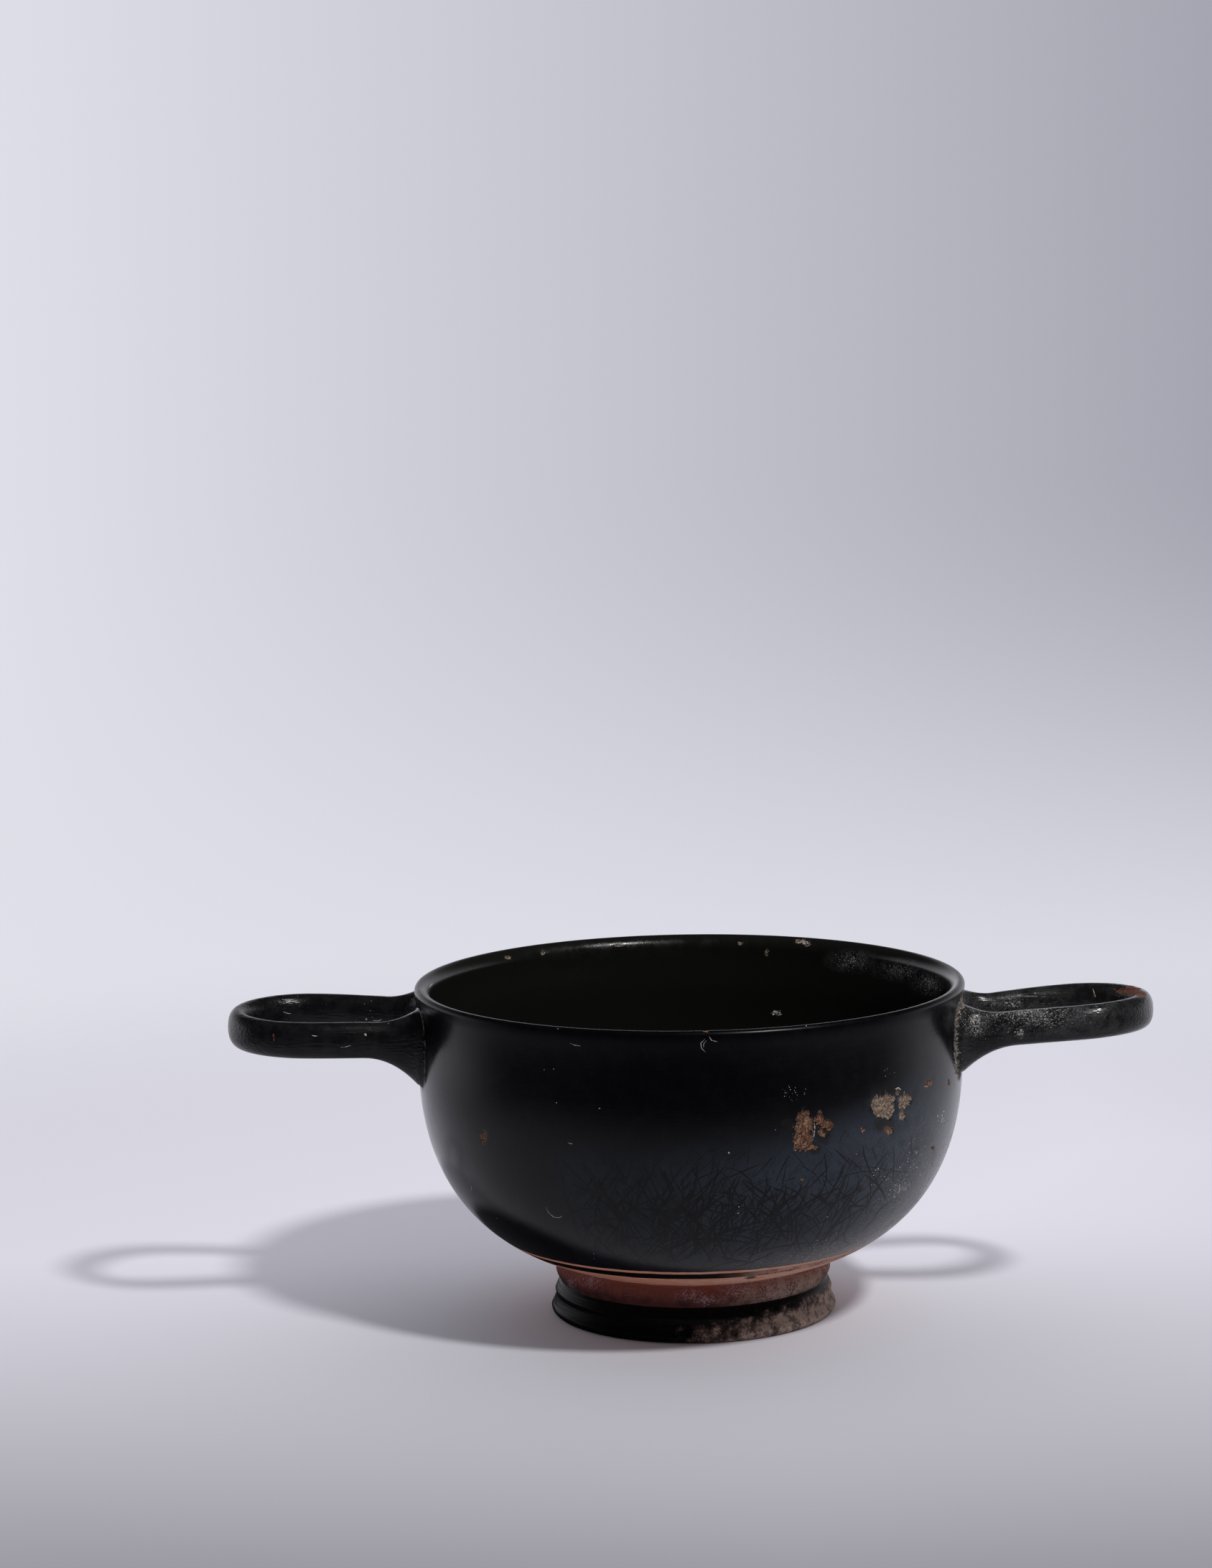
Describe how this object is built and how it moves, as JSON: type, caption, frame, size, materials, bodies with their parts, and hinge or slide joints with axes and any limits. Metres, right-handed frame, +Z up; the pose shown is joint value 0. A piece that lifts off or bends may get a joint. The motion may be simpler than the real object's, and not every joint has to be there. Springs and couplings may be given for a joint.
{
  "type": "kylix cup",
  "caption": "Deep stemless drinking cup in black-gloss fired clay, with a rounded lip, a moulded ring foot with a red band, and a horizontal loop handle on each side.",
  "frame": {"origin": "centre of the foot's resting ring, on the surface that the cup stands on", "axes": "+Z up along the bowl's axis, +X towards the handle on the picture's right, -Y towards the picture's camera"},
  "size_m": [0.2104, 0.125, 0.0764],
  "materials": {
    "black_gloss_clay": "semi-gloss black slip over red-brown clay, worn and chipped, with a dull red band round the foot"
  },
  "bodies": {
    "root": {"kylix_cup": "black_gloss_clay"}
  },
  "joints": []
}
